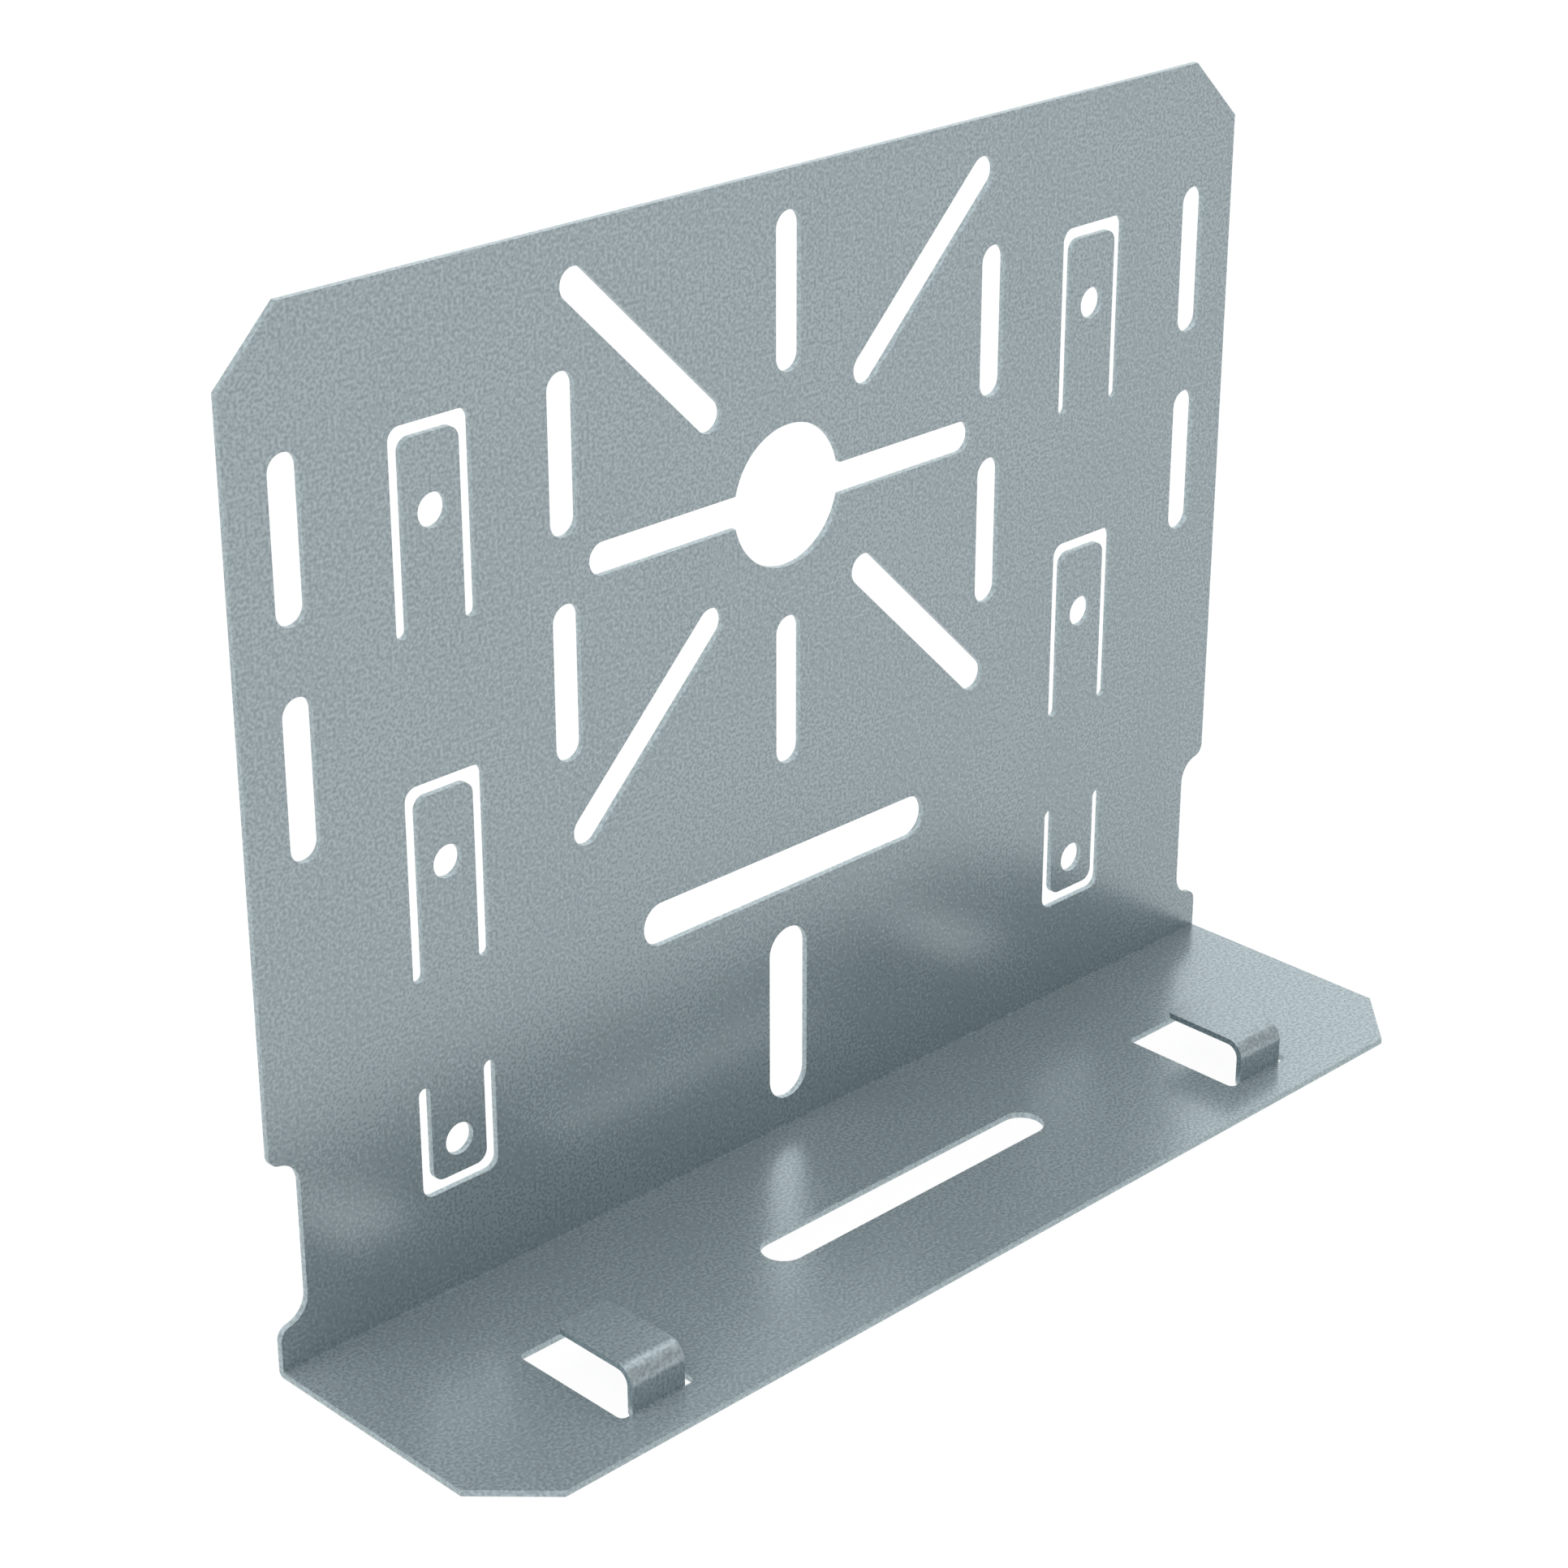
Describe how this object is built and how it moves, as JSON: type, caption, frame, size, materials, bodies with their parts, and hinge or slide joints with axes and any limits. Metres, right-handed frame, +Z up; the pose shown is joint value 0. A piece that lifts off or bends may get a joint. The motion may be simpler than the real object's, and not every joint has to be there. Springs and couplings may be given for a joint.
{
  "type": "cable tray mounting plate",
  "caption": "Folded sheet steel angle with a slotted upright for a junction box and a flange with lanced hooks that grip the wires of a cable tray.",
  "frame": {"origin": "on the flange's underside, under the middle of the plate's box", "axes": "+X along the fold, +Y from the flange's front edge to the upright's back, +Z up the upright"},
  "size_m": [0.2, 0.05, 0.156],
  "materials": {
    "galvanised_sheet": "hot-dip galvanised, satin, with a fine grain"
  },
  "bodies": {
    "root": {"mounting_plate": "galvanised_sheet"}
  },
  "joints": []
}
